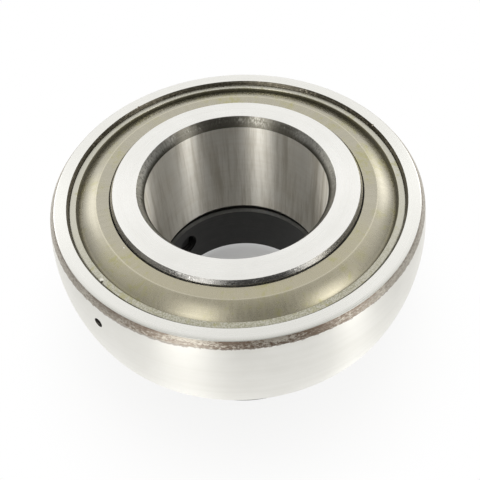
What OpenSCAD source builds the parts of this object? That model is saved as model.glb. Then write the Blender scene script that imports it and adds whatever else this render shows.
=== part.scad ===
// Insert bearing with a spherical outer ring and an eccentric locking collar.
// The origin is the centre of the outer ring's sphere, on the shaft axis.
// +Z points away from the collar, so the part stands on the collar's end face.
// The wall is the metal and space between the bore and the sphere, along a radius.

/* [Shaft] */
// Diameter of the shaft, which is also the bore of the inner ring
shaft_d = 30; // [25:0.25:36]

/* [Outer ring] */
// Diameter of the spherical seat that fits the housing
sphere_d = 62; // [52:0.25:72]
// Width of the outer ring
ring_w = 17; // [14.5:0.1:20]
// Width of the turned chamfer beside each face, measured along the face
ring_chamfer_w = 0.7; // [0.3:0.05:1.2]
// Height of the same chamfer, measured along the axis
ring_chamfer_h = 0.85; // [0.3:0.05:1.2]
// Radius of the lip that holds the seal in, as a part of the wall
lip_part = 0.74375; // [0.73:0.00125:0.75]
// Width of the bevel from the lip out to the face
mouth_w = 0.41; // [0.2:0.01:0.7]
// Depth of the groove behind the lip
seal_groove_w = 0.3; // [0.2:0.01:0.4]
// Radius of the land between the two seals, as a part of the wall
land_part = 0.68125; // [0.67:0.00125:0.69]
// Diameter of the two relubrication holes
lube_d = 1.4; // [1:0.1:2]
// Angle of the first relubrication hole, from +X towards +Y
lube_angle = 226.7; // [0:0.1:360]
// Distance of those holes above the edge of the raceway
lube_past_edge = 0.7; // [0:0.05:1]

/* [Inner ring] */
// Width of the inner ring
inner_w = 23.8; // [19:0.1:28]
// Height of the inner ring's upper face above the outer ring's face
proud = 0.65; // [0.4:0.05:1.5]
// Thickness of the inner ring, as a part of the wall
inner_part = 0.3325; // [0.325:0.00125:0.34]
// Width of the chamfer round the upper face, measured along the face
inner_chamfer_w = 0.45; // [0.2:0.05:0.9]
// Height of the same chamfer, measured along the axis
inner_chamfer_h = 0.6; // [0.3:0.05:0.9]
// Width of the lead-in at both ends of the bore, measured along the face
lead_in_w = 1.09; // [0.4:0.01:1.2]
// Depth of the same lead-in, measured along the axis
lead_in_h = 1.68; // [0.5:0.02:2]

/* [Balls] */
// Number of balls
ball_count = 9; // [7:1:9]
// Diameter of a ball, as a part of the wall
ball_part = 0.5953125; // [0.58:0.0015625:0.605]
// Place of the ball centres, as a part of the wall from the bore
pitch_part = 0.5; // [0.495:0.001:0.505]
// Raceway radius as a part of the ball diameter
conformity = 0.52; // [0.51:0.005:0.53]
// Gap between a ball and the bottom of each raceway
ball_gap = 0.02; // [0.01:0.005:0.04]

/* [Cage] */
// Thickness of the cage sheet
cage_t = 0.7; // [0.5:0.05:0.85]
// Gap between the cage and the inner ring
cage_in_gap = 0.7; // [0.4:0.05:0.9]
// Gap between the cage and the outer ring
cage_out_gap = 0.9; // [0.4:0.05:1.2]
// Gap between a ball and its pocket
pocket_gap = 0.12; // [0.08:0.01:0.2]
// Diameter of a rivet
rivet_d = 1.2; // [0.8:0.1:1.6]
// Diameter of a rivet head
rivet_head_d = 2.3; // [1.8:0.1:2.8]
// Height of a rivet head
rivet_head_h = 0.5; // [0.3:0.05:0.7]

/* [Seals] */
// Depth of a seal below the ring's face, as a part of the room above the cage
seal_part = 0.89; // [0.8:0.01:0.94]
// Depth of the seal's rim, as a part of the seal's depth
rim_part = 0.286; // [0.25:0.002:0.34]
// Depth of the foot of the bowl, as a part of the seal's depth
foot_part = 0.52; // [0.46:0.005:0.56]
// Depth of the crease where the bowl meets the flat, as a part of the seal's depth
crease_depth_part = 0.02; // [0:0.005:0.08]
// Fall of the flat from the crease to its inner edge, as a part of the seal's depth
flat_fall_part = 0.02; // [0:0.005:0.06]
// How far the bowl bulges above a straight cone, as a part of the seal's depth
bowl_bulge_part = 0.068; // [0.02:0.002:0.09]
// Thickness of the outer steel washer, as a part of the seal's depth
washer_part = 0.192; // [0.14:0.002:0.22]
// Thickness of the inner steel washer, as a part of the seal's depth
backing_part = 0.173; // [0.12:0.001:0.2]
// Width of the rim, from the lip inward
rim_w = 1; // [0.8:0.05:1.1]
// Width of the step from the rim down to the foot of the bowl
step_w = 0.25; // [0.15:0.05:0.4]
// Place of the crease, as a part of the way from the washer's inner edge to the foot
crease_part = 0.404; // [0.34:0.002:0.46]
// Outer edge of the rubber, as a part of the same way
rubber_part = 0.54; // [0.47:0.005:0.6]
// Gap between the outer washer and the inner ring
washer_gap = 0.22; // [0.15:0.01:0.4]
// Gap between the inner washer and the inner ring
backing_gap = 0.8; // [0.4:0.05:1.2]
// Gap between a rubber lip and the inner ring
lip_gap = 0.1; // [0.05:0.01:0.14]

/* [Eccentric cam] */
// Thickness of the cam, as a part of the inner ring's thickness
cam_part = 0.611; // [0.58:0.001:0.66]
// Distance of the cam's axis from the shaft axis
cam_offset = 0.8; // [0.5:0.05:1]
// Length of the cam, as a part of the inner ring's end outside the outer ring
cam_len_part = 0.7; // [0.55:0.01:0.8]
// Chamfer at the end of the cam and at the shoulder behind it
cam_chamfer = 0.5; // [0.2:0.05:0.8]

/* [Locking collar] */
// Thickness of the collar's wall where it is thinnest
collar_wall = 2.55; // [2:0.05:5]
// Length of the collar beyond the inner ring
collar_reach = 11.9; // [11:0.1:15]
// Gap between the collar and the shaft, on the radius
collar_shaft_gap = 0.2; // [0.1:0.05:0.3]
// Gap between the collar's recess and the cam, on the radius
cam_gap = 0.15; // [0.1:0.01:0.3]
// Gap between the recess floor and the end of the cam
seat_gap = 0.05; // [0.02:0.01:0.2]
// Gap between the collar's upper face and the inner ring's shoulder
shoulder_gap = 0.2; // [0.1:0.05:0.5]
// Chamfer at the outside edges of the collar
collar_chamfer = 0.8; // [0.3:0.1:1.5]
// Chamfer at the lower end of the collar's bore
bore_chamfer = 1; // [0.3:0.1:1.5]
// Chamfer at the upper end of the collar's bore
throat_chamfer = 0.5; // [0.2:0.05:0.9]
// Diameter of the blind hole for a drift punch
drift_d = 4.5; // [3:0.25:5.5]
// Depth of that hole
drift_depth = 3; // [1.5:0.25:4]
// Angle of the drill point at the bottom of that hole
drill_point = 118; // [90:1:140]
// Angle from the set screw to the drift hole
drift_turn = 120; // [60:5:300]

/* [Set screw] */
// Diameter of the threaded hole, at the thread's crests
screw_hole_d = 4.2; // [3.2:0.1:5]
// Gap between the screw and its hole, on the radius
screw_gap = 0.03; // [0.02:0.01:0.06]
// Distance of the screw's point from the collar's bore, inside its hole
screw_back = 1.35; // [0.8:0.05:2]
// Distance of the screw's outer end inside the collar's outside
screw_inset = 0.2; // [0:0.05:0.6]
// Height of the screw above the collar's lower face
screw_height = 7; // [5:0.25:8]
// Angle of the screw, from +X towards +Y
screw_angle = 135; // [100:1:260]
// Width of the hex socket across its flats
socket_af = 2.5; // [1.5:0.1:2.6]
// Depth of the hex socket
socket_depth = 2.6; // [1.5:0.1:2.8]
// Diameter of the cup in the screw's point
cup_d = 2.5; // [1.5:0.1:2.8]
// Depth of the cup
cup_depth = 0.7; // [0.3:0.1:1]
// Chamfer at both ends of the screw and at its hole
screw_chamfer = 0.4; // [0.2:0.05:0.6]

/* [Hidden] */
BALL_NAMES = [for (i = [1:ball_count]) str("ball_", i)];

// Facets of the round forms, large and small
ring_fn = 180;
ball_fn = 72;
hole_fn = 48;
// Segments in each curve of the pressed washer
curve_steps = 8;
// How far a cutting tool runs past what it cuts
past = 1;

// Outer ring
sphere_r = sphere_d / 2;
bore_r = shaft_d / 2;
wall = sphere_r - bore_r;
half_w = ring_w / 2;
land_r = bore_r + land_part * wall;
lip_r = bore_r + lip_part * wall;
mouth_r = lip_r + mouth_w;
seal_groove_r = lip_r + seal_groove_w;
chamfer_z = half_w - ring_chamfer_h;
chamfer_r = sqrt(sphere_r * sphere_r - chamfer_z * chamfer_z);
face_r = chamfer_r - ring_chamfer_w;

// Balls and raceways
ball_d = ball_part * wall;
pitch_r = bore_r + pitch_part * wall;
groove_r = conformity * ball_d;
outer_groove_x = pitch_r + ball_d / 2 + ball_gap - groove_r;
inner_groove_x = pitch_r - ball_d / 2 - ball_gap + groove_r;
outer_edge_z = sqrt(groove_r * groove_r - pow(land_r - outer_groove_x, 2));
lube_z = outer_edge_z + lube_past_edge;
ball_step = 360 / ball_count;

// Inner ring
inner_r = bore_r + inner_part * wall;
inner_top = half_w + proud;
inner_bottom = inner_top - inner_w;
cam_len = cam_len_part * (-half_w - inner_bottom);
shoulder_z = inner_bottom + cam_len;
cam_r = bore_r + cam_part * (inner_r - bore_r);

// Cage
pocket_r = ball_d / 2 + pocket_gap;
cage_top = pocket_r + cage_t;
ribbon_in = inner_r + cage_in_gap;
ribbon_out = land_r - cage_out_gap;
rivet_gap = 0.02;
rivet_dome_r = (pow(rivet_head_d / 2, 2) + pow(rivet_head_h, 2)) / (2 * rivet_head_h);

// Seals
seal_fit = 0.04;
seal_h = seal_part * (half_w - cage_top);
washer_t = washer_part * seal_h;
backing_t = backing_part * seal_h;
seat_z = half_w - seal_h;
backing_top = seat_z + backing_t;
lip_z = half_w - rim_part * seal_h;
rim_z = lip_z - seal_fit;
foot_z = half_w - foot_part * seal_h;
crease_z = half_w - crease_depth_part * seal_h;
flat_z = crease_z - flat_fall_part * seal_h;
bowl_bulge = bowl_bulge_part * seal_h;
washer_r = seal_groove_r - seal_fit;
rim_out = lip_r;
rim_in = rim_out - rim_w;
foot_r = rim_in - step_w;
washer_in = inner_r + washer_gap;
crease_r = washer_in + crease_part * (foot_r - washer_in);
backing_in = inner_r + backing_gap;
lip_in = inner_r + lip_gap;
rubber_top = flat_z - washer_t;
rubber_out = washer_in + rubber_part * (foot_r - washer_in);
lip_h = rubber_top - backing_top;

// Edges of the two rubber lips, in parts of the rubber's height from its top
first_lip_from = 0.15;
first_lip_to = 0.3;
notch_from = 0.55;
notch_to = 0.65;
second_lip_from = 0.8;
second_lip_to = 0.95;

// Collar and set screw
collar_bore_r = bore_r + collar_shaft_gap;
recess_r = cam_r + cam_gap;
collar_r = recess_r + cam_offset + collar_wall;
recess_floor = inner_bottom - seat_gap;
collar_top = shoulder_z - shoulder_gap;
collar_bottom = inner_bottom - collar_reach;
screw_z = collar_bottom + screw_height;
screw_hole_r = screw_hole_d / 2;
screw_r = screw_hole_r - screw_gap;
screw_out = collar_r - screw_inset;
screw_tip = collar_bore_r + screw_back;
screw_len = screw_out - screw_tip;

// The point at a part t, from 0 to 1, of a curve that bulges above the line from a to b
function bulging(a, b, bulge, t) =
    a + t * (b - a) + [0, 4 * bulge * t * (1 - t)];

// The points of that curve
function bulging_curve(a, b, bulge) =
    [for (i = [0:curve_steps]) bulging(a, b, bulge, i / curve_steps)];

// The same outline below the mid plane, in reverse order
function mirrored(points) =
    [for (i = [len(points) - 1:-1:0]) [points[i][0], -points[i][1]]];

// The same points, moved down
function lowered(points, drop) =
    [for (p = points) [p[0], p[1] - drop]];

// The points in reverse order
function reversed(points) =
    [for (i = [len(points) - 1:-1:0]) points[i]];

// A tube about the Z axis, from z to z + h
module tube(r_in, r_out, z, h) {
    translate([0, 0, z])
    difference() {
        cylinder(r = r_out, h = h, $fn = ring_fn);
        translate([0, 0, -past])
        cylinder(r = r_in, h = h + 2 * past, $fn = ring_fn);
    }
}

// A round bar about the Z axis with a chamfer of c at both ends
module chamfered_bar(r, h, c) {
    rotate_extrude()
    polygon([[0, 0], [r - c, 0], [r, c], [r, h - c], [r - c, h], [0, h]]);
}

// A cone that cuts a chamfer into the end of a hole; its wide end is at z = 0
module chamfer_cut(r, w, h) {
    slope = w / h;
    translate([0, 0, -h])
    cylinder(r1 = r, r2 = r + w + past * slope, h = h + past, $fn = ring_fn);
}

// Children copied to each ball's place
module at_balls() {
    for (i = [0:ball_count - 1]) {
        rotate([0, 0, i * ball_step])
        translate([pitch_r, 0, 0])
        children();
    }
}

// Children copied half way between the balls
module between_balls() {
    rotate([0, 0, ball_step / 2])
    at_balls()
    children();
}

// Hardened steel ring: spherical outside, raceway inside, a seal recess at both faces
module outer_ring() {
    upper_outside = [
        [sphere_r + past, chamfer_z],
        [chamfer_r, chamfer_z],
        [face_r, half_w]
    ];
    upper_recess = [
        [mouth_r, half_w],
        [lip_r, lip_z],
        [seal_groove_r, lip_z],
        [seal_groove_r, seat_z],
        [land_r, seat_z]
    ];
    upper = concat(upper_outside, upper_recess);
    color("gainsboro")
    difference() {
        rotate_extrude($fn = ring_fn)
        difference() {
            intersection() {
                polygon(concat(upper, mirrored(upper)));
                circle(r = sphere_r, $fn = ring_fn);
            }
            translate([outer_groove_x, 0])
            circle(r = groove_r, $fn = ring_fn);
        }
        for (turn = [0, 180]) {
            rotate([0, 0, lube_angle + turn])
            translate([land_r - past, 0, lube_z])
            rotate([0, 90, 0])
            cylinder(d = lube_d, h = sphere_r - land_r + 2 * past, $fn = hole_fn);
        }
    }
}

// Hardened steel ring with its raceway outside and the eccentric cam at its lower end
module inner_ring() {
    chamfer_start = inner_top - inner_chamfer_h;
    color("whitesmoke")
    difference() {
        union() {
            rotate_extrude($fn = ring_fn)
            difference() {
                polygon([
                    [0, inner_top],
                    [inner_r - inner_chamfer_w, inner_top],
                    [inner_r, chamfer_start],
                    [inner_r, shoulder_z + cam_chamfer],
                    [inner_r - cam_chamfer, shoulder_z],
                    [0, shoulder_z]
                ]);
                translate([inner_groove_x, 0])
                circle(r = groove_r, $fn = ring_fn);
            }
            translate([cam_offset, 0, inner_bottom])
            rotate_extrude($fn = ring_fn)
            polygon([
                [0, 0],
                [cam_r - cam_chamfer, 0],
                [cam_r, cam_chamfer],
                [cam_r, cam_len + past],
                [0, cam_len + past]
            ]);
        }
        translate([0, 0, inner_bottom - past])
        cylinder(r = bore_r, h = inner_w + 2 * past, $fn = ring_fn);
        translate([0, 0, inner_top])
        chamfer_cut(bore_r, lead_in_w, lead_in_h);
        translate([0, 0, inner_bottom])
        mirror([0, 0, 1])
        chamfer_cut(bore_r, lead_in_w, lead_in_h);
    }
}

// One ball, counted from 0 at +X
module ball(i) {
    color("silver")
    rotate([0, 0, i * ball_step])
    translate([pitch_r, 0, 0])
    sphere(d = ball_d, $fn = ball_fn);
}

// Half of the pressed ribbon cage: flats between the pockets and a cup over each ball
module cage_half() {
    color("tan")
    intersection() {
        tube(ribbon_in, ribbon_out, 0, ball_d);
        difference() {
            union() {
                cylinder(r = ribbon_out + past, h = cage_t, $fn = ring_fn);
                at_balls()
                sphere(r = pocket_r + cage_t, $fn = ball_fn);
            }
            at_balls()
            sphere(r = pocket_r, $fn = ball_fn);
            between_balls()
            translate([0, 0, -past])
            cylinder(r = rivet_d / 2 + rivet_gap, h = cage_t + 2 * past, $fn = hole_fn);
        }
    }
}

module cage_upper_half() {
    cage_half();
}

module cage_lower_half() {
    mirror([0, 0, 1])
    cage_half();
}

// The domed head at the upper end of a rivet
module rivet_head() {
    translate([0, 0, cage_t])
    intersection() {
        translate([0, 0, rivet_head_h - rivet_dome_r])
        sphere(r = rivet_dome_r, $fn = hole_fn);
        cylinder(d = rivet_head_d + past, h = rivet_head_h + past, $fn = hole_fn);
    }
}

// Rivets that join the two halves of the cage, a separate solid each
module cage_rivets() {
    color("dimgray")
    between_balls()
    union() {
        translate([0, 0, -cage_t])
        cylinder(d = rivet_d, h = 2 * cage_t, $fn = hole_fn);
        rivet_head();
        mirror([0, 0, 1])
        rivet_head();
    }
}

// Upper side of the outer washer from its inner edge: flat, crease and bowl
function washer_dish() = concat(
    [[washer_in, flat_z]],
    bulging_curve([crease_r, crease_z], [foot_r, foot_z], bowl_bulge)
);

// The steep step from the foot of the bowl up to the rim, with a fillet at the foot
function washer_step() = [
    for (i = [1:curve_steps])
        let (turn = 90 * i / curve_steps)
        [foot_r + step_w * sin(turn), foot_z + (rim_z - foot_z) * (1 - cos(turn))]
];

// Section of the outer washer: dish, step, rim and the edge that stands in the groove
module washer_section() {
    dish = washer_dish();
    edge = [
        [rim_out, rim_z],
        [washer_r, rim_z - (washer_r - rim_out)],
        [washer_r, backing_top],
        [washer_r - washer_t, backing_top],
        [washer_r - washer_t, rim_z - washer_t]
    ];
    under_step = [
        [rim_in + washer_t, rim_z - washer_t],
        [rim_in, foot_z - washer_t]
    ];
    polygon(concat(dish, washer_step(), edge, under_step, reversed(lowered(dish, washer_t))));
}

// Zinc plated steel washer, pressed and crimped under the outer ring's lip
module seal_washer() {
    color("darkkhaki")
    rotate_extrude($fn = ring_fn)
    washer_section();
}

// Rubber ring with two lips, clamped between the washers
module seal_lip() {
    color("black")
    rotate_extrude($fn = ring_fn)
    difference() {
        polygon([
            [rubber_out, backing_top],
            [rubber_out, rubber_top],
            [lip_in + first_lip_to * lip_h, rubber_top],
            [lip_in, rubber_top - first_lip_from * lip_h],
            [lip_in, rubber_top - first_lip_to * lip_h],
            [backing_in, rubber_top - notch_from * lip_h],
            [backing_in, rubber_top - notch_to * lip_h],
            [lip_in + lip_gap, rubber_top - second_lip_from * lip_h],
            [lip_in + lip_gap, rubber_top - second_lip_to * lip_h],
            [backing_in, backing_top]
        ]);
        washer_section();
    }
}

// Flat steel washer between the balls and the rubber, seated on the land
module backing_washer() {
    color("silver")
    tube(backing_in, washer_r, seat_z, backing_t);
}

module upper_seal_washer() {
    seal_washer();
}

module upper_seal_lip() {
    seal_lip();
}

module upper_backing_washer() {
    backing_washer();
}

module lower_seal_washer() {
    mirror([0, 0, 1])
    seal_washer();
}

module lower_seal_lip() {
    mirror([0, 0, 1])
    seal_lip();
}

module lower_backing_washer() {
    mirror([0, 0, 1])
    backing_washer();
}

// Black steel collar: an eccentric recess fits the cam, and the bore fits the shaft
module locking_collar() {
    color("darkslategray")
    difference() {
        translate([0, 0, collar_bottom])
        chamfered_bar(collar_r, collar_top - collar_bottom, collar_chamfer, $fn = ring_fn);
        translate([0, 0, collar_bottom - past])
        cylinder(r = collar_bore_r, h = collar_top - collar_bottom + 2 * past, $fn = ring_fn);
        translate([0, 0, collar_bottom])
        mirror([0, 0, 1])
        chamfer_cut(collar_bore_r, bore_chamfer, bore_chamfer);
        translate([cam_offset, 0, recess_floor])
        cylinder(r = recess_r, h = collar_top - recess_floor + past, $fn = ring_fn);
        translate([0, 0, recess_floor])
        chamfer_cut(collar_bore_r, throat_chamfer, throat_chamfer);
        screw_hole();
        drift_hole();
    }
}

// The threaded hole through the collar's wall, opened out at the outside
module screw_hole() {
    rotate([0, 0, screw_angle])
    translate([0, 0, screw_z])
    rotate([0, 90, 0]) {
        translate([0, 0, collar_bore_r - past])
        cylinder(r = screw_hole_r, h = collar_r - collar_bore_r + 2 * past, $fn = hole_fn);
        translate([0, 0, collar_r])
        chamfer_cut(screw_hole_r, screw_chamfer, screw_chamfer);
    }
}

// The blind hole that takes a punch when the collar is turned tight
module drift_hole() {
    point_h = drift_d / 2 / tan(drill_point / 2);
    rotate([0, 0, screw_angle + drift_turn])
    translate([collar_r - drift_depth, 0, screw_z])
    rotate([0, 90, 0]) {
        cylinder(d = drift_d, h = drift_depth + past, $fn = hole_fn);
        translate([0, 0, -point_h])
        cylinder(r1 = 0, r2 = drift_d / 2, h = point_h, $fn = hole_fn);
    }
}

// Headless screw with a hex socket outside and a cup point inside
module set_screw() {
    cup_slope = cup_d / 2 / cup_depth;
    color("dimgray")
    rotate([0, 0, screw_angle])
    translate([screw_tip, 0, screw_z])
    rotate([0, 90, 0])
    difference() {
        chamfered_bar(screw_r, screw_len, screw_chamfer, $fn = hole_fn);
        translate([0, 0, screw_len - socket_depth])
        cylinder(d = socket_af / cos(30), h = socket_depth + past, $fn = 6);
        translate([0, 0, -past])
        cylinder(r1 = cup_slope * (cup_depth + past), r2 = 0, h = cup_depth + past, $fn = hole_fn);
    }
}

outer_ring();
inner_ring();
for (i = [0:ball_count - 1]) {
    ball(i);
}
cage_upper_half();
cage_lower_half();
cage_rivets();
upper_seal_washer();
upper_seal_lip();
upper_backing_washer();
lower_seal_washer();
lower_seal_lip();
lower_backing_washer();
locking_collar();
set_screw();
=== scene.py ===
"""The looks of an insert bearing that stands on its black locking collar, seen from above and in front.

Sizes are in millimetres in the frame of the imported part: +Z is the shaft axis, away from the collar,
and the origin is the centre of the outer ring's sphere. Meshes are scaled to metres as they are made.
"""

import math

import bmesh
import bpy
from mathutils import Matrix, Vector


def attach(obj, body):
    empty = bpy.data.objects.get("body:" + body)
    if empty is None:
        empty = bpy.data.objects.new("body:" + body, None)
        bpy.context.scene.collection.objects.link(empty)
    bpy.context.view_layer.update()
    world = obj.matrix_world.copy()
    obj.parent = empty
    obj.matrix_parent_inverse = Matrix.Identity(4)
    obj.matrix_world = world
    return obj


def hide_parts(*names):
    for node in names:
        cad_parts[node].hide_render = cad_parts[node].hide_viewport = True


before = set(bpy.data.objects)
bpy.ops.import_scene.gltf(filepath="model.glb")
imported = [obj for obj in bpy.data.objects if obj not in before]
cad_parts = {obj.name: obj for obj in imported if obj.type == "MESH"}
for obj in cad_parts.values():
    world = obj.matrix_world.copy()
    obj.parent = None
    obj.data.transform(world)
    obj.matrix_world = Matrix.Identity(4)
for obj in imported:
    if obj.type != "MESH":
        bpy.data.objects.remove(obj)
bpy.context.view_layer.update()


# OUTER RING
# Hardened bearing steel, turned and then ground. The sphere, both faces and the raceway are ground
# bright. The chamfers and the seal recess keep the dark scale of hardening. Two small grease holes
# are drilled through it, opposite each other, and the mouth of the upper recess has two nicks.
MM = 0.001


class Wire:
    """A socket of a node tree that can be added, multiplied and divided like a number."""

    def __init__(self, tree, socket=None):
        self.tree = tree
        self.socket = socket

    def make(self, kind, settings=None, inputs=None, output=0):
        """Adds a node, sets it up, fills or links its inputs and returns one of its outputs."""
        node = self.tree.nodes.new(kind)
        for name, value in (settings or {}).items():
            setattr(node, name, value)
        for name, value in (inputs or {}).items():
            if isinstance(value, Wire):
                self.tree.links.new(value.socket, node.inputs[name])
            else:
                node.inputs[name].default_value = value
        return Wire(self.tree, node.outputs[output])

    def math(self, operation, *others):
        return self.make("ShaderNodeMath", {"operation": operation}, dict(enumerate((self, *others))))

    def __add__(self, other):
        return self.math("ADD", other)

    __radd__ = __add__

    def __sub__(self, other):
        return self.math("SUBTRACT", other)

    def __rsub__(self, other):
        return self.math("MULTIPLY", -1.0) + other

    def __mul__(self, other):
        return self.math("MULTIPLY", other)

    __rmul__ = __mul__

    def __truediv__(self, other):
        return self.math("DIVIDE", other)

    def rise(self, low, high):
        """0 below low and 1 above high, with a smooth step between."""
        return self.make("ShaderNodeMapRange", {"interpolation_type": "SMOOTHSTEP"},
                         {0: self, 1: low, 2: high, 3: 0.0, 4: 1.0})

    def ridge(self, middle, reach):
        """1 at the middle value, falling to 0 at that reach on both sides of it."""
        return 1.0 - (self - middle).math("ABSOLUTE").rise(0.0, reach)

    def blend(self, first, second):
        """The first colour where this value is 0 and the second where it is 1."""
        first = first if isinstance(first, Wire) else (*first, 1.0)
        second = second if isinstance(second, Wire) else (*second, 1.0)
        return self.make("ShaderNodeMix", {"data_type": "RGBA"}, {0: self, 6: first, 7: second}, 2)

    def join(self, y, z):
        """A vector that has this value as its x."""
        return self.make("ShaderNodeCombineXYZ", None, {0: self, 1: y, 2: z})

    def noise(self, scale, detail=3.0, rough=0.5):
        """Noise from about 0 to 1, read at this vector."""
        return self.make("ShaderNodeTexNoise", None,
                         {"Vector": self, "Scale": scale, "Detail": detail, "Roughness": rough})


class Skin:
    """A material in the making. It knows where on a turned piece a point is, in millimetres."""

    def __init__(self, name):
        self.material = bpy.data.materials.new(name)
        self.material.use_nodes = True
        self.tree = self.material.node_tree
        self.shader = self.tree.nodes["Principled BSDF"]
        start = Wire(self.tree)
        place = start.make("ShaderNodeTexCoord", output="Object")
        self.point = start.make("ShaderNodeVectorMath", {"operation": "SCALE"},
                                {0: place, "Scale": 1.0 / MM})
        axes = [start.make("ShaderNodeSeparateXYZ", None, {0: self.point}, i) for i in range(3)]
        self.x, self.y, self.z = axes
        self.r = (self.x * self.x + self.y * self.y).math("SQRT")
        self.cos = self.x / self.r
        self.sin = self.y / self.r

    def grain(self, across, around, detail=2.0, rough=0.5):
        """Noise on a turned surface: how fine it is across the tool's path, and around the axis."""
        path = (self.r - self.z * 1.3) * across
        return (self.cos * around).join(self.sin * around, path).noise(1.0, detail, rough)

    def facing(self, degrees):
        """1 on the side of the piece at that angle round the axis, and -1 on the far side."""
        return self.cos * math.cos(math.radians(degrees)) + self.sin * math.sin(math.radians(degrees))

    def spot(self, degrees, r, z, reach):
        """1 at a point of the turned surface, falling to 0 at that reach around it."""
        middle = (r * math.cos(math.radians(degrees)), r * math.sin(math.radians(degrees)), z)
        away = self.point.make("ShaderNodeVectorMath", {"operation": "DISTANCE"},
                               {0: self.point, 1: middle}, 1)
        return 1.0 - away.rise(reach * 0.3, reach)

    def fixed(self, **values):
        """Sets inputs of the shader that are the same all over."""
        for name, value in values.items():
            self.shader.inputs[name.replace("_", " ")].default_value = value

    def wired(self, **wires):
        """Links inputs of the shader that change over the surface."""
        for name, wire in wires.items():
            self.tree.links.new(wire.socket, self.shader.inputs[name.replace("_", " ")])

    def bump(self, height, depth_mm):
        """Relief of that depth where height goes from 0 to 1."""
        relief = height.make("ShaderNodeBump", None, {"Distance": depth_mm * MM, "Height": height})
        self.wired(Normal=relief)


# A quarter turn lays the smear of the reflections square to the tool's lines.
ACROSS_LINES = 0.25
scale_brown, shade_grey, hone_brown = (0.3, 0.24, 0.2), (0.55, 0.55, 0.51), (0.5, 0.46, 0.38)


def ground_steel(name, colour, stain, roughness, smear, groove_depth,
                 scale_from=None, front_shade_from=None, hone=0.0):
    """Ground steel: fine lines round the axis, faint bands and a little dirt. Its reflections smear
    across the lines. Scale may run down in tatters from a height, painted shade darken the front of
    the face from a radius outwards, and honing leave darker streaks along the axis."""
    skin = Skin(name)
    lines = skin.grain(22.0, 2.5)
    bands = skin.grain(0.9, 0.8)
    cloud = skin.point.noise(0.22, 4.0, 0.6)
    tone = (bands * 0.5 + cloud * 0.5).rise(0.3, 0.75).blend(colour, stain)
    rough = lines * 0.10 + cloud * 0.06 + (roughness - 0.08)
    if scale_from:
        tatters = skin.grain(1.2, 40.0, 5.0, 0.65) + skin.facing(-118).rise(0.96, 0.995) * 0.2
        scaled = (tatters - (scale_from - skin.z) * 0.9).rise(0.4, 0.45)
        tone = (scaled * 0.7).blend(tone, scale_brown)
    if front_shade_from:
        # Painted shade: the front of the face greyer and darker from a radius outwards.
        front_shade = skin.r.rise(front_shade_from, front_shade_from + 0.9) * skin.facing(-90).rise(0.3, 0.95)
        tone = (front_shade * 0.75).blend(tone, shade_grey)
    if hone:
        streaks = (skin.cos * 9.0).join(skin.sin * 9.0, skin.z * 0.04).noise(1.0, 5.0, 0.7)
        tone = (streaks.rise(0.42, 0.68) * hone).blend(tone, hone_brown)
    skin.wired(Base_Color=tone, Roughness=rough)
    skin.bump(lines, groove_depth)
    skin.fixed(Metallic=1.0, Anisotropic=smear, Anisotropic_Rotation=ACROSS_LINES)
    return skin.material


def turned_steel(name, dark, light, roughness, wear, darken_heights=(0.0, 0.1),
                 highlight_spots=(), bright=(0.6, 0.57, 0.5)):
    """Turned and hardened steel: dark scale in rings, worn through to lighter metal in fine flecks.
    Wear goes from 0 for none to 1 for much, and the tone is darkened beyond the first darken height,
    fading out by the second, which in a bore's lead-in is painted shade. Each highlight spot is a
    painted highlight, speckled like worn metal, with an angle, the cosine of its reach, and the share
    of bright metal there."""
    skin = Skin(name)
    lines = skin.grain(6.0, 3.0)
    flecks = skin.grain(3.2, 60.0, 5.0, 0.75)
    patches = skin.grain(0.5, 5.0)
    worn = (flecks * 0.6 + patches * 0.4 + wear * 0.4).rise(0.6, 0.68)
    tone = (flecks * 0.5 + lines * 0.5).rise(0.35, 0.68) * 0.35
    # 1 where the tone is not darkened. Deeper in a bore's lead-in the darkening is painted shade.
    undarkened = skin.z.math("ABSOLUTE").rise(*darken_heights)
    tone = ((worn + tone * (1.0 - worn)) * (undarkened * 0.8 + 0.2)).blend(dark, light)
    # Painted highlights: lighter metal at the given angles, speckled like worn flecks.
    for angle, reach, share in highlight_spots:
        highlit = skin.facing(angle).rise(reach, 1.0) * undarkened * (flecks.rise(0.3, 0.6) * 0.6 + 0.4)
        tone = (highlit * share).blend(tone, bright)
    skin.wired(Base_Color=tone, Roughness=flecks * 0.2 + (roughness - 0.1))
    skin.bump(lines * 0.4 + flecks * 0.6, 0.03)
    skin.fixed(Metallic=1.0, Anisotropic=0.4, Anisotropic_Rotation=ACROSS_LINES)
    return skin.material


def rounded(corners, steps=4):
    """Rounds an outline's corners. A corner is (r, z, rounding, paint, shift): paint is the material
    of the side after it, and shift moves the circle's centre along X. Returns (r, z, paint, shift)."""
    points = []
    for i, corner in enumerate(corners):
        r, z, radius, paint = corner[:4]
        shift = corner[4] if len(corner) > 4 else 0.0
        here = Vector((r, z))
        if not radius:
            points.append((r, z, paint, shift))
            continue
        to_last = Vector(corners[i - 1][:2]) - here
        to_next = Vector(corners[(i + 1) % len(corners)][:2]) - here
        half = to_last.angle(to_next) / 2
        radius = min(radius, 0.45 * min(to_last.length, to_next.length) * math.tan(half))
        reach = radius / math.tan(half)
        first = here + to_last.normalized() * reach
        last = here + to_next.normalized() * reach
        inward = (to_last.normalized() + to_next.normalized()).normalized()
        middle = here + inward * (radius / math.sin(half))
        turn = (first - middle).angle_signed(last - middle)
        for step in range(steps + 1):
            spoke = (first - middle).copy()
            spoke.rotate(Matrix.Rotation(-turn * step / steps, 2))
            side = corners[i - 1][3] if step < steps / 2 else paint
            points.append((*(middle + spoke), side, shift))
    return points


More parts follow.
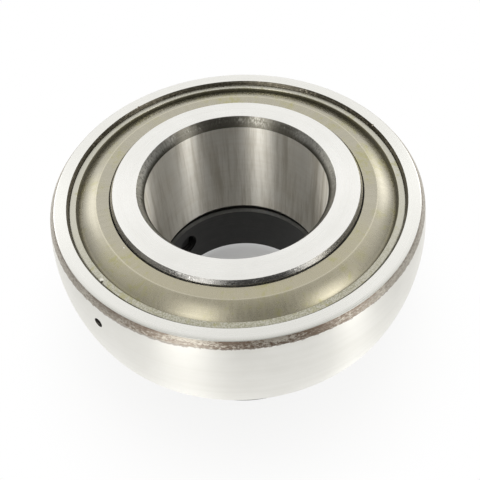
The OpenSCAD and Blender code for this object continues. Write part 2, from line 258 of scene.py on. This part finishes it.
def lathe(name, corners, paints, segments=240):
    """A turned piece from an outline that goes once round its section. Paints are its materials."""
    shape = bmesh.new()
    turns = [2 * math.pi * k / segments for k in range(segments)]
    points = rounded(corners)
    hoops = []
    for r, z, paint, shift in points:
        if r < 1e-6:
            hoops.append([shape.verts.new((shift * MM, 0, z * MM))] * segments)
        else:
            places = [((shift + r * math.cos(a)) * MM, r * math.sin(a) * MM, z * MM) for a in turns]
            hoops.append([shape.verts.new(place) for place in places])
    for i, point in enumerate(points):
        hoop, after = hoops[i], hoops[(i + 1) % len(points)]
        for k in range(segments):
            ends = [hoop[k], hoop[(k + 1) % segments], after[(k + 1) % segments], after[k]]
            ends = list(dict.fromkeys(ends))
            if len(ends) > 2:
                face = shape.faces.new(ends)
                face.material_index = point[2]
    bmesh.ops.recalc_face_normals(shape, faces=shape.faces)
    mesh = bpy.data.meshes.new(name)
    shape.to_mesh(mesh)
    shape.free()
    for paint in paints:
        mesh.materials.append(paint)
    piece = bpy.data.objects.new(name, mesh)
    bpy.context.scene.collection.objects.link(piece)
    return piece


def aim(tool, angle, height):
    """Turns a tool's +Z to point away from the shaft axis at that angle and height."""
    turn = Matrix.Rotation(math.radians(angle), 4, "Z") @ Matrix.Rotation(math.radians(90), 4, "Y")
    tool.data.transform(Matrix.Translation((0, 0, height * MM)) @ turn)


def carve(piece, *tools):
    """Cuts the tools out of the piece. Their faces keep their material numbers."""
    for tool in tools:
        cut = piece.modifiers.new("cut", "BOOLEAN")
        cut.object = tool
        cut.solver = "EXACT"
    bpy.context.view_layer.update()
    shown = piece.evaluated_get(bpy.context.evaluated_depsgraph_get())
    mesh = bpy.data.meshes.new_from_object(shown)
    piece.modifiers.clear()
    piece.data = mesh
    for tool in tools:
        bpy.data.objects.remove(tool)


def smooth(piece, degrees=35):
    """Shades the piece smooth, but keeps its flats and the edges that turn by more than the degrees."""
    shape = bmesh.new()
    shape.from_mesh(piece.data)
    for face in shape.faces:
        face.smooth = True
    for edge in shape.edges:
        edge.smooth = edge.calc_face_angle(0) < math.radians(degrees)
    shape.to_mesh(piece.data)
    shape.free()
    flats = piece.modifiers.new("flats", "WEIGHTED_NORMAL")
    flats.keep_sharp = True


def arc(middle_r, radius, start, end, steps, paint):
    """Corners along an arc of the section about a point at height 0, from one angle to another."""
    spokes = [math.radians(start + (end - start) * i / steps) for i in range(steps + 1)]
    return [(middle_r + radius * math.cos(a), radius * math.sin(a), 0, paint) for a in spokes]


SPHERE, FACE, SCALE, RECESS, HOLE = range(5)
ring_segments = 300
sphere_r, face_z, face_edge_r = 31.0, 8.5, 29.34
chamfer_z = 7.65
chamfer_r = math.sqrt(sphere_r**2 - chamfer_z**2)
mouth_r, lip_r, lip_z = 27.31, 26.95, 7.757
recess_r, seat_z, land_r = 27.2, 5.9034, 25.9
race_r, outer_race_at = 4.953, 22.8295
race_z = math.sqrt(race_r**2 - (land_r - outer_race_at) ** 2)
chamfer_turn = math.degrees(math.asin(chamfer_z / sphere_r))
race_turn = math.degrees(math.atan2(race_z, land_r - outer_race_at))
outline = (
    [(chamfer_r, -chamfer_z, 0.2, SPHERE)]
    + arc(0, sphere_r, -chamfer_turn, chamfer_turn, 28, SPHERE)[1:-1]
    + [(chamfer_r, chamfer_z, 0.2, SCALE), (face_edge_r, face_z, 0.4, FACE),
       (mouth_r, face_z, 0.06, RECESS), (lip_r, lip_z, 0.05, RECESS), (recess_r, lip_z, 0.04, RECESS),
       (recess_r, seat_z, 0.1, RECESS), (land_r, seat_z, 0.1, RECESS)]
    + arc(outer_race_at, race_r, race_turn, -race_turn, 20, FACE)
    + [(land_r, -seat_z, 0.1, RECESS), (recess_r, -seat_z, 0.1, RECESS),
       (recess_r, -lip_z, 0.04, RECESS), (lip_r, -lip_z, 0.05, RECESS), (mouth_r, -face_z, 0.06, FACE),
       (face_edge_r, -face_z, 0.4, SCALE)]
)
outer_paints = [
    ground_steel("ground_sphere", (0.895, 0.884, 0.835), (0.855, 0.843, 0.79),
                 roughness=0.34, smear=0.93, groove_depth=0.003, scale_from=chamfer_z),
    # Painted shade darkens the front of this face towards its edge.
    ground_steel("ground_face", (0.88, 0.875, 0.85), (0.85, 0.845, 0.82),
                 roughness=0.28, smear=0.7, groove_depth=0.0005, front_shade_from=28.5),
    # Painted highlights: lighter at both sides and at the front. Darker towards the face.
    turned_steel("scaled_chamfer", (0.17, 0.118, 0.085), (0.6, 0.56, 0.49),
                 roughness=0.46, wear=0.26, darken_heights=(8.9, 8.0),
                 highlight_spots=((-107, 0.985, 0.4), (-45, 0.96, 0.35), (180, 0.3, 1.0), (0, 0.3, 1.0)),
                 bright=(0.68, 0.645, 0.575)),
    turned_steel("scaled_recess", (0.055, 0.049, 0.035), (0.45, 0.41, 0.34), roughness=0.4, wear=0.12),
    turned_steel("drilled_hole", (0.06, 0.055, 0.05), (0.2, 0.19, 0.17), roughness=0.5, wear=0.0),
]
outer = lathe("outer_ring_skin", outline, outer_paints, ring_segments)
hole_r, hole_z, hole_angle = 0.7, 4.587, 226.7
hole_from, flare_from, flare_to, hole_to = 24, 30.55, 30.9, 32
flare_r, hole_segments = hole_r + 0.25, 40
for turn in (0, 180):
    drill = lathe("drill", [(0, hole_from, 0, HOLE), (hole_r, hole_from, 0, HOLE),
                            (hole_r, flare_from, 0.1, HOLE), (flare_r, flare_to, 0, HOLE),
                            (flare_r, hole_to, 0, HOLE), (0, hole_to, 0, HOLE)],
                  outer_paints, hole_segments)
    aim(drill, hole_angle + turn, hole_z)
    carve(outer, drill)
nick_r, nick_foot_z, nick_top_z, nick_segments = 0.2, 8.2, 9, 16
for nick_angle in (128.3, 26.0):
    nick = lathe("nick", [(0, nick_foot_z, 0, SCALE), (nick_r - 0.04, nick_foot_z + 0.05, 0.05, SCALE),
                          (nick_r, nick_top_z, 0, SCALE), (0, nick_top_z, 0, SCALE)],
                 outer_paints, nick_segments)
    nick.data.transform(Matrix.Rotation(math.radians(nick_angle), 4, "Z")
                        @ Matrix.Translation((mouth_r * MM, 0, 0)))
    carve(outer, nick)
smooth(outer)
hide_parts("outer_ring")
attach(outer, "outer_ring")


# INNER RING
# Hardened bearing steel. Both faces, the bore, the outside and the raceway are ground; the lead-ins
# of the bore and the chamfers are turned and dark. Its lower end is the eccentric cam of the lock.
BORE, LEAD_IN, CHAMFER = 0, 3, SCALE
bore_r, inner_top, inner_bottom = 15.0, 9.15, -14.65
inner_r, inner_face_r, inner_chamfer_z = 20.32, 19.87, 8.55
lead_in_r, lead_in_depth = 16.09, 1.68
shoulder_z, shoulder_r, cam_r, cam_offset, cam_end_r = -10.345, 19.82, 18.2505, 0.8, 17.7505
inner_race_at = 23.1705
inner_race_z = math.sqrt(race_r**2 - (inner_race_at - inner_r) ** 2)
race_turn = math.degrees(math.atan2(inner_race_z, inner_r - inner_race_at))
end_chamfer = 0.5
outline = (
    [(bore_r, inner_bottom + lead_in_depth, 0.15, BORE),
     (bore_r, inner_top - lead_in_depth, 0.15, LEAD_IN), (lead_in_r, inner_top, 0.12, FACE),
     (inner_face_r, inner_top, 0.1, CHAMFER), (inner_r, inner_chamfer_z, 0.12, FACE)]
    + arc(inner_race_at, race_r, race_turn, 360 - race_turn, 20, FACE)
    + [(inner_r, shoulder_z + end_chamfer, 0.1, CHAMFER), (shoulder_r, shoulder_z, 0.08, CHAMFER),
       (cam_r, shoulder_z, 0.15, FACE, cam_offset),
       (cam_r, inner_bottom + end_chamfer, 0.1, CHAMFER, cam_offset),
       (cam_end_r, inner_bottom, 0.1, CHAMFER, cam_offset), (lead_in_r, inner_bottom, 0.1, LEAD_IN)]
)
inner_paints = [
    ground_steel("honed_bore", (0.84, 0.82, 0.765), (0.78, 0.745, 0.675),
                 roughness=0.54, smear=1.0, groove_depth=0.002, hone=0.65),
    ground_steel("ground_inner_face", (0.9, 0.895, 0.88), (0.85, 0.845, 0.825),
                 roughness=0.28, smear=0.7, groove_depth=0.0005),
    # Painted highlights: lighter at both sides and at the front right.
    turned_steel("turned_chamfer", (0.16, 0.155, 0.148), (0.66, 0.65, 0.63), roughness=0.26, wear=0.1,
                 highlight_spots=((180, 0.3, 0.8), (0, 0.3, 0.8), (-35, 0.9, 0.8))),
    # Painted shade: darker deeper in the bore. Painted highlights: lighter at both sides.
    turned_steel("turned_lead_in", (0.1, 0.094, 0.078), (0.3, 0.29, 0.26),
                 roughness=0.3, wear=0.22, darken_heights=(7.6, 8.5),
                 highlight_spots=((180, 0.6, 1.0), (0, 0.6, 1.0)), bright=(0.9, 0.89, 0.84)),
]
inner = lathe("inner_ring_skin", outline, inner_paints, ring_segments)
smooth(inner)
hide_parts("inner_ring")
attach(inner, "inner_ring")


# BALLS
# Nine hardened steel balls, lapped to a mirror. They run between the two raceways, behind the seals,
# and show only when the bearing is taken apart.
skin = Skin("lapped_ball")
haze = skin.point.noise(1.5, 3.0)
skin.wired(Base_Color=haze.rise(0.35, 0.7).blend((0.86, 0.86, 0.85), (0.8, 0.8, 0.79)),
           Roughness=haze * 0.06 + 0.03)
skin.fixed(Metallic=1.0)
ball_count = 9
for number in range(1, ball_count + 1):
    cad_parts[f"ball_{number}"].data.materials[0] = skin.material


# CAGE
# Two ribbons pressed from thin steel sheet, with a cup over each ball, and riveted together between
# the balls. They keep the balls apart.
skin = Skin("pressed_cage")
grain = skin.point.noise(2.2, 5.0, 0.6)
skin.wired(Base_Color=grain.rise(0.3, 0.7).blend((0.6, 0.585, 0.55), (0.47, 0.455, 0.42)),
           Roughness=grain * 0.2 + 0.22)
skin.bump(grain, 0.02)
skin.fixed(Metallic=1.0)
for half in ("cage_upper_half", "cage_lower_half"):
    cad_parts[half].data.materials[0] = skin.material


# CAGE RIVETS
# Nine short pieces of steel wire, one between each two balls, with heads formed in a press. They
# hold the two halves of the cage together.
skin = Skin("rivet_wire")
grain = skin.point.noise(4.0, 4.0, 0.6)
skin.wired(Base_Color=grain.rise(0.3, 0.7).blend((0.5, 0.49, 0.47), (0.36, 0.35, 0.33)),
           Roughness=grain * 0.2 + 0.25)
skin.bump(grain, 0.015)
skin.fixed(Metallic=1.0)
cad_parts["cage_rivets"].data.materials[0] = skin.material


# BACKING WASHERS
# Flat rings stamped from bright steel sheet, one inside each seal, which press the rubber lip
# against the outer washer.
skin = Skin("stamped_sheet")
drawn = (skin.x * 0.4).join(skin.y * 6.0, skin.z).noise(1.0, 3.0)
skin.wired(Base_Color=drawn.rise(0.3, 0.7).blend((0.7, 0.69, 0.66), (0.58, 0.57, 0.54)),
           Roughness=drawn * 0.15 + 0.25)
skin.bump(drawn, 0.006)
skin.fixed(Metallic=1.0)
for side in ("upper", "lower"):
    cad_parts[f"{side}_backing_washer"].data.materials[0] = skin.material


# SEAL WASHERS
# Steel sheet pressed to a flat, a crease, a bowl and a rim, zinc plated with a pale yellow passivation,
# and crimped under the lip of the outer ring, one at each face.
ZINC = 0
sheet = 0.4985
lip_gap, rim_gap = 0.04, 0.03
flat_in, flat_z = 20.54, 8.396
crease_r, crease_z = 22.604, 8.448
foot_r, foot_z, bowl_bulge = 25.86, 7.1, 0.1766
rim_in, rim_z = 25.97, 7.86
edge_r, edge_foot_z = 27.16, 6.3526


def washer_outline(side):
    """Section of the pressed washer; side is 1 for the upper one and -1 for the lower one."""
    bowl = []
    for t in (step / 10 for step in range(1, 9)):
        sag = 4 * bowl_bulge * t * (1 - t)
        bowl.append((crease_r + t * (foot_r - crease_r), crease_z + t * (foot_z - crease_z) + sag, 0))
    dish = [(flat_in, flat_z, 0.1), (crease_r, crease_z, 1.5)] + bowl + [(foot_r, foot_z, 0.04)]
    edge = [(rim_in, rim_z, 0.06), (lip_r - rim_gap, rim_z, 0.05),
            (lip_r - rim_gap, lip_z - lip_gap, 0), (edge_r, lip_z - lip_gap, 0.05),
            (edge_r, edge_foot_z, 0.05),
            (edge_r - sheet, edge_foot_z, 0.05), (edge_r - sheet, rim_z - sheet, 0.1),
            (rim_in + sheet, rim_z - sheet, 0.1), (rim_in, foot_z - sheet, 0.2)]
    under = [(r, z - sheet, 0) for r, z, rounding in reversed(dish)]
    return [(r, side * z, rounding, ZINC) for r, z, rounding in dish + edge + under]


grey_zinc, warm_zinc, drawn_zinc = (0.455, 0.43, 0.355), (0.46, 0.435, 0.33), (0.58, 0.55, 0.46)
rim_zinc, front_zinc, rim_dirt = (0.58, 0.565, 0.495), (0.47, 0.425, 0.29), (0.3, 0.29, 0.18)
yellow_zinc, highlight_zinc, corner_shade = (0.43, 0.41, 0.2), (0.66, 0.62, 0.5), (0.06, 0.055, 0.035)
skin = Skin("zinc_plate")
cloud = skin.point.noise(0.16, 3.0, 0.55)
mottle = skin.point.noise(1.1, 4.0, 0.6)
press = skin.grain(6.0, 1.5)
specks = skin.point.noise(5.0, 4.0, 0.6)
draw = skin.grain(0.2, 42.0, 3.0)
on_rim = skin.r.rise(rim_in - 0.05, rim_in + 0.02)
front_rim = on_rim * skin.facing(-90).rise(0.1, 0.95)
# Painted shade: dark in the corner at the bowl's foot, most at the back.
corner = skin.r.ridge(foot_r, 0.35) * (1.0 - skin.z.math("ABSOLUTE").rise(rim_z - 0.2, rim_z - 0.05))
# Painted highlight: a lighter line along the crease.
crease_highlight = skin.r.ridge(crease_r + 0.03, 0.16)
tint = cloud.rise(0.4, 0.65).blend(grey_zinc, warm_zinc)
tint = (draw.rise(0.35, 0.7) * 0.2).blend(tint, drawn_zinc)
tint = on_rim.blend(tint, rim_zinc)
front = skin.facing(-90).rise(0.2, 0.9)
tint = (front * (1.0 - on_rim) * 0.42).blend(tint, front_zinc)
tint = (front_rim * specks.rise(0.42, 0.6) * 0.75).blend(tint, rim_dirt)
yellowed = (mottle * 0.55 + cloud * 0.45).rise(0.52, 0.64)
# Stains of the passivation: angle, radius and reach.
for angle, r, reach in ((308, 23.5, 0.9), (317, 23.9, 1.5), (35, 21.3, 1.3), (11, 21.9, 0.8),
                        (60, 21.5, 1.2), (338, 22.9, 1.4)):
    yellowed = yellowed + skin.spot(angle, r, flat_z, reach) * mottle
tint = (yellowed * 0.6).blend(tint, yellow_zinc)
# Painted highlight along the crease, then painted shade in the corner at the bowl's foot.
tint = (crease_highlight * 0.8).blend(tint, highlight_zinc)
tint = (corner * (skin.facing(90).rise(0.1, 0.95) * 0.3 + 0.65)).blend(tint, corner_shade)
# The mark of the crimping tool, bright with a dark edge, and one bare speck.
for angle, r, z, reach, colour in ((220.3, 26.62, rim_z, 0.42, (0.85, 0.83, 0.76)),
                                   (221, 26.8, rim_z, 0.3, (0.08, 0.07, 0.05)),
                                   (214.6, 21.06, flat_z, 0.14, (0.9, 0.89, 0.85))):
    tint = skin.spot(angle, r, z, reach).blend(tint, colour)
skin.wired(Base_Color=tint,
           Roughness=mottle * 0.08 + draw * 0.1 + press * 0.05 + front_rim * 0.1 + corner * 0.25 + 0.16)
skin.bump(press * 0.3 + mottle * 0.7, 0.008)
skin.fixed(Metallic=1.0, Anisotropic=0.35, Anisotropic_Rotation=ACROSS_LINES)
zinc = skin.material
for side, sign in (("upper", 1), ("lower", -1)):
    washer = lathe(f"{side}_seal_washer_skin", washer_outline(sign), [zinc])
    smooth(washer)
    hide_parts(f"{side}_seal_washer")
    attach(washer, "outer_ring")


# SEAL LIPS
# Moulded rings of black nitrile rubber, one in each seal, clamped between its two washers. Two thin
# lips run close to the inner ring.
skin = Skin("nitrile_rubber")
grain = skin.point.noise(6.0, 4.0, 0.6)
skin.wired(Base_Color=grain.rise(0.3, 0.8).blend((0.012, 0.012, 0.011), (0.03, 0.029, 0.027)),
           Roughness=grain * 0.2 + 0.45)
skin.bump(grain, 0.02)
for side in ("upper", "lower"):
    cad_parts[f"{side}_seal_lip"].data.materials[0] = skin.material


# LOCKING COLLAR
# Turned steel with a black oxide finish. It has an eccentric recess above that grips the cam, the
# bore, a threaded hole for the set screw, and a blind hole for the drift that turns it.
def black_steel(name, dark, worn, roughness):
    """Blackened steel with the lines of the tool and a few worn, greyer places."""
    skin = Skin(name)
    lines = skin.grain(4.0, 1.5)
    cloud = skin.point.noise(0.5, 4.0, 0.6)
    skin.wired(Base_Color=(lines * 0.5 + cloud * 0.5).rise(0.35, 0.75).blend(dark, worn),
               Roughness=lines * 0.15 + cloud * 0.1 + (roughness - 0.1))
    skin.bump(lines, 0.01)
    skin.fixed(Anisotropic=0.5, Anisotropic_Rotation=ACROSS_LINES)
    return skin.material


BLACK, CUT, THROAT_HIGHLIGHT = 0, 1, 2
collar_paints = [
    black_steel("black_oxide", (0.014, 0.014, 0.013), (0.034, 0.034, 0.032), roughness=0.4),
    black_steel("black_cut", (0.006, 0.006, 0.006), (0.014, 0.014, 0.013), roughness=0.6),
    # Painted highlight: a lighter black for the chamfer of the collar's throat.
    black_steel("black_throat_highlight", (0.1, 0.1, 0.095), (0.2, 0.2, 0.19), roughness=0.4),
]
collar_r, collar_top, collar_bottom = 21.7505, -10.545, -26.55
collar_bore_r, throat_r, bore_end_r = 15.2, 15.7, 16.2
collar_bore_top, collar_bore_foot = -15.2, -25.55
cam_recess_r, cam_recess_z = 18.4005, -14.7
outside_chamfer = 0.8
collar_end_r = collar_r - outside_chamfer
outline = [
    (collar_bore_r, collar_bore_top, 0.1, BLACK), (collar_bore_r, collar_bore_foot, 0.1, BLACK),
    (bore_end_r, collar_bottom, 0.1, BLACK), (collar_end_r, collar_bottom, 0.15, BLACK),
    (collar_r, collar_bottom + outside_chamfer, 0.15, BLACK),
    (collar_r, collar_top - outside_chamfer, 0.15, BLACK), (collar_end_r, collar_top, 0.15, BLACK),
    (cam_recess_r, collar_top, 0.12, BLACK, cam_offset),
    (cam_recess_r, cam_recess_z, 0.1, BLACK, cam_offset), (throat_r, cam_recess_z, 0.1, THROAT_HIGHLIGHT),
]
collar = lathe("locking_collar_skin", outline, collar_paints)


def thread(tool, length_from, length_to, radius, depth, pitch):
    """Winds a thread onto the round side of a tool or screw that stands on the Z axis. A negative
    depth cuts a groove. It fades in and out over one turn."""
    for vertex in tool.data.vertices:
        x, y, z = (c / MM for c in vertex.co)
        r = math.hypot(x, y)
        if abs(r - radius) < 0.02 and length_from < z < length_to:
            phase = (z / pitch - math.atan2(y, x) / (2 * math.pi)) % 1.0
            fade = min(1.0, (z - length_from) / pitch, (length_to - z) / pitch)
            shift = depth * fade * (1 - abs(2 * phase - 1))
            vertex.co.x *= (r + shift) / r
            vertex.co.y *= (r + shift) / r


def round_rows(radius, low, high, step, paint):
    """Corners up the straight side of a bar, close enough together to carry a thread."""
    count = int(round((high - low) / step))
    return [(radius, low + (high - low) * i / count, 0, paint) for i in range(count + 1)]


tool_segments = 64
past_collar = 23
pitch, tap_depth, tap_row = 0.8, 0.28, 0.1
screw_angle, screw_z, tapped_r = 135, -19.55, 2.1
tap_from, tap_to, mouth_at_collar, mouth_past_collar = 13, 21.2, 2.5, 2.7
tap = lathe("tap", [(0, tap_from, 0, CUT)] + round_rows(tapped_r, tap_from, tap_to, tap_row, CUT)
            + [(mouth_at_collar, collar_r, 0, CUT), (mouth_past_collar, past_collar, 0, CUT),
               (0, past_collar, 0, CUT)], collar_paints, tool_segments)
thread(tap, tap_from, tap_to, tapped_r, tap_depth, pitch)
aim(tap, screw_angle, screw_z)
drift_r, drift_angle, drift_flare = 2.25, 255, 0.35
drift_point, drift_foot, drift_edge = 17.4, 18.75, 21.6
drift = lathe("drift", [(0, drift_point, 0, CUT), (drift_r, drift_foot, 0.1, CUT),
                        (drift_r, drift_edge, 0.15, CUT),
                        (drift_r + drift_flare, drift_edge + drift_flare, 0, CUT),
                        (drift_r + drift_flare, past_collar, 0, CUT), (0, past_collar, 0, CUT)],
              collar_paints, tool_segments)
aim(drift, drift_angle, screw_z)
carve(collar, tap, drift)
smooth(collar)
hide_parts("locking_collar")
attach(collar, "collar")


# SET SCREW
# Black headless steel screw with rolled threads, a hex socket at its outer end and a cup point that
# bites the shaft. It sits in the collar's threaded hole.
screw_paints = [
    black_steel("black_screw", (0.016, 0.016, 0.016), (0.045, 0.045, 0.044), roughness=0.35),
    black_steel("black_socket", (0.008, 0.008, 0.008), (0.02, 0.02, 0.02), roughness=0.5),
]
crest_r, screw_tip, screw_out = 2.07, 16.55, 21.55
cup_r, cup_rim_r, cup_depth, screw_chamfer = 1.2, 1.65, 0.7, 0.4
groove_depth, groove_row, groove_end = 0.22, 0.08, 0.35
outline = (
    [(0, screw_tip + cup_depth, 0, BLACK), (cup_r, screw_tip + 0.01, 0, BLACK),
     (cup_rim_r, screw_tip, 0.05, BLACK)]
    + round_rows(crest_r, screw_tip + screw_chamfer, screw_out - screw_chamfer, groove_row, BLACK)
    + [(crest_r - screw_chamfer, screw_out, 0.05, BLACK), (0, screw_out, 0, BLACK)]
)
screw = lathe("set_screw_skin", outline, screw_paints, tool_segments)
thread(screw, screw_tip + groove_end, screw_out - groove_end, crest_r, -groove_depth, pitch)
key_r, key_drill_r, key_point, key_foot, key_to = 1.443, 1.2, 18.6, 18.95, 22
key_sides, sharp_from = 6, 30
key = lathe("key", [(0, key_point, 0, CUT), (key_drill_r, key_foot, 0, CUT), (key_r, key_foot, 0, CUT),
                    (key_r, key_to, 0, CUT), (0, key_to, 0, CUT)], screw_paints, key_sides)
carve(screw, key)
aim(screw, screw_angle, screw_z)
smooth(screw, sharp_from)
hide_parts("set_screw")
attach(screw, "set_screw")


# FLOOR
# White table under the part. Most of its white is its own, so that it stays white in the picture and
# in the metal, and the rest is lit and carries the part's soft shadow.
table_half_width_m = 2.0
shape = bmesh.new()
bmesh.ops.create_grid(shape, x_segments=8, y_segments=8, size=table_half_width_m)
mesh = bpy.data.meshes.new("floor")
shape.to_mesh(mesh)
shape.free()
floor = bpy.data.objects.new("floor", mesh)
floor.location.z = collar_bottom * MM
bpy.context.scene.collection.objects.link(floor)
skin = Skin("white_table")
cloud = skin.point.noise(0.01, 2.0)
skin.wired(Base_Color=cloud.blend((0.88, 0.88, 0.87), (0.92, 0.92, 0.91)))
skin.fixed(Roughness=0.9, Specular_IOR_Level=0.1)
looked_at, mirrored, passed = (cloud.make("ShaderNodeLightPath", output=f"Is {kind} Ray")
                               for kind in ("Camera", "Glossy", "Transmission"))
# The share of its white that is its own: little inside the bore, more under the part, most past the
# part's shadow. Set by radius round the axis, it lets the real shadow show near the part and also
# paints the table darker inside the bore and round the part: partly real shadow, partly painted shade.
outside = skin.r.rise(bore_end_r - 2.0, bore_end_r + 3.0)
past_shadow = skin.r.rise(26.0, 48.0)
in_picture = outside * 0.56 + past_shadow * 0.17 + 0.27
in_metal = outside * 0.7 + 0.28
glow = cloud.make("ShaderNodeEmission", None, {"Color": (1, 1, 1, 1), "Strength": 1.0})
lit = Wire(skin.tree, skin.shader.outputs[0])
own = (looked_at + passed) * in_picture + mirrored * in_metal
table = cloud.make("ShaderNodeMixShader", None, {0: own, 1: lit, 2: glow})
skin.tree.links.new(table.socket, skin.tree.nodes["Material Output"].inputs["Surface"])
mesh.materials.append(skin.material)


# LIGHT
# A white studio, darker in front, low down and at the ceiling. Two tall soft boxes stand in front,
# one on each side, two wide ones behind the part, and a faint low one at the left.
world = bpy.data.worlds.new("studio")
bpy.context.scene.world = world
world.use_nodes = True
start = Wire(world.node_tree)
way = start.make("ShaderNodeTexCoord", output="Generated")
x, y, z = (start.make("ShaderNodeSeparateXYZ", None, {0: way}, i) for i in range(3))
side = x.math("ARCTAN2", y * -1.0)
tall = z.math("ARCSINE")
flat = (x * x + y * y).math("SQRT")


def strip(offset, half_width, low, high, edge=0.06):
    """A soft-edged strip of light: offset from its middle line, and the elevations it runs between."""
    across = 1.0 - offset.math("ABSOLUTE").math("SUBTRACT", half_width).rise(-edge, edge)
    return across * tall.rise(low - edge, low + edge) * (1.0 - tall.rise(high - edge, high + edge))


front_wall = 0.38
back = y.rise(-0.35, 0.5)
low = (1.0 - tall.rise(0.3, 0.8)) * (1.0 - y.rise(0.25, 0.95))
ceiling = tall.rise(0.98, 1.07)
walls = (back * (1.0 - front_wall) + front_wall) * (1.0 - ceiling * 0.17) * (1.0 - low * 0.74)
in_front = (1.0 - y.rise(-0.12, 0.05)) * (1.0 - tall.rise(0.65, 1.0) * 0.55)
front_left = strip(x + flat * 0.37 + 0.13, flat * 0.13 + 0.035, 0.08, 1.36) * in_front * 3.9
front_right = strip(x - flat * 0.59 - 0.2, flat * 0.04 + 0.025, 0.06, 1.14) * in_front * 4.7
back_left = strip(side + 2.41, 0.17, 0.39, 0.71, 0.1) * 1.5
back_right = strip(side - 2.39, 0.17, 0.39, 0.62, 0.1) * 2.2
far_left = strip(side + 1.2, 0.24, 0.02, 0.5, 0.12) * 0.4
level = walls + far_left + front_left + front_right + back_left + back_right
warm_white = (1.0, 0.995, 0.97)
light = level.make("ShaderNodeVectorMath", {"operation": "SCALE"}, {0: warm_white, "Scale": level})
looked_at = start.make("ShaderNodeLightPath", output="Is Camera Ray")
sky = looked_at.blend(light, (1, 1, 1))
world.node_tree.links.new(sky.socket, world.node_tree.nodes["Background"].inputs["Color"])


# CAMERA
# It stands 105 mm off, above and in front of the part, looks 50 degrees down and leans 4 degrees to
# one side.
camera = bpy.data.cameras.new("camera")
camera.lens = 45.476
camera.clip_start = 0.005
eye_point = bpy.data.objects.new("camera", camera)
down, pan, roll = 0.87825, -0.00087, -0.0677
place = Matrix.Translation((0, -0.069837, 0.078127))
look = Matrix(((1, 0, 0), (0, math.sin(down), -math.cos(down)), (0, math.cos(down), math.sin(down))))
turn = Matrix.Rotation(pan, 4, "Z") @ look.to_4x4() @ Matrix.Rotation(roll, 4, "Z")
eye_point.matrix_world = place @ turn
bpy.context.scene.collection.objects.link(eye_point)
bpy.context.scene.camera = eye_point
bpy.context.scene.view_settings.view_transform = "Standard"
